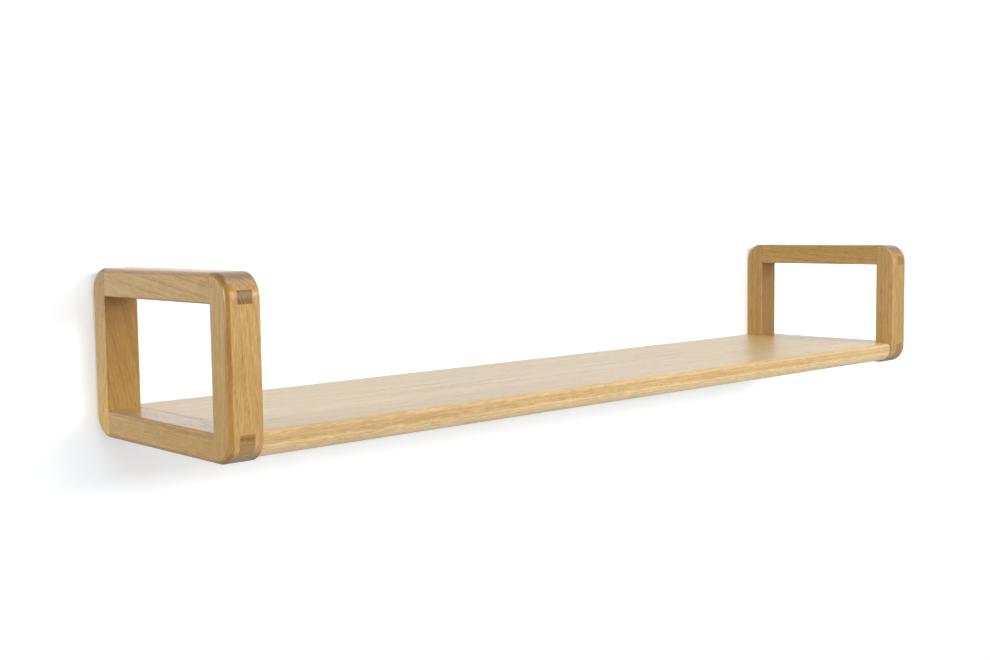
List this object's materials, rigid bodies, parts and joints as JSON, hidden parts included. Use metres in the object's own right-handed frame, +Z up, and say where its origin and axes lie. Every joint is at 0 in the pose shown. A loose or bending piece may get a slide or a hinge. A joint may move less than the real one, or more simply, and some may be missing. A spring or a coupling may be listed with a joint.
{
  "type": "wall shelf",
  "caption": "Solid oak wall shelf: a long board between two upright rounded end frames joined with through tenons, hung from recessed keyhole plates in the back.",
  "frame": {"origin": "middle of the board's back edge, on the wall plane, halfway up the board's thickness and halfway along the shelf", "axes": "+X along the shelf, to the right for someone who faces it; +Y back into the wall; +Z up"},
  "size_m": [0.9, 0.203, 0.135],
  "materials": {
    "frame_oak": "satin clear lacquer over oak",
    "board_oak": "satin clear lacquer over oak",
    "beech": "bare beech",
    "plate_steel": "bright zinc-plated steel",
    "screw_steel": "yellow zinc-plated steel"
  },
  "bodies": {
    "root": {"left_front_stile": "frame_oak", "left_back_stile": "frame_oak", "left_top_rail": "frame_oak", "left_bottom_rail": "frame_oak", "right_front_stile": "frame_oak", "right_back_stile": "frame_oak", "right_top_rail": "frame_oak", "right_bottom_rail": "frame_oak", "board_stave_1": "board_oak", "board_stave_2": "board_oak", "board_stave_3": "board_oak", "board_stave_4": "board_oak", "left_tongue": "beech", "right_tongue": "beech", "left_keyhole_plate": "plate_steel", "right_keyhole_plate": "plate_steel", "plate_screws": "screw_steel"}
  },
  "joints": []
}
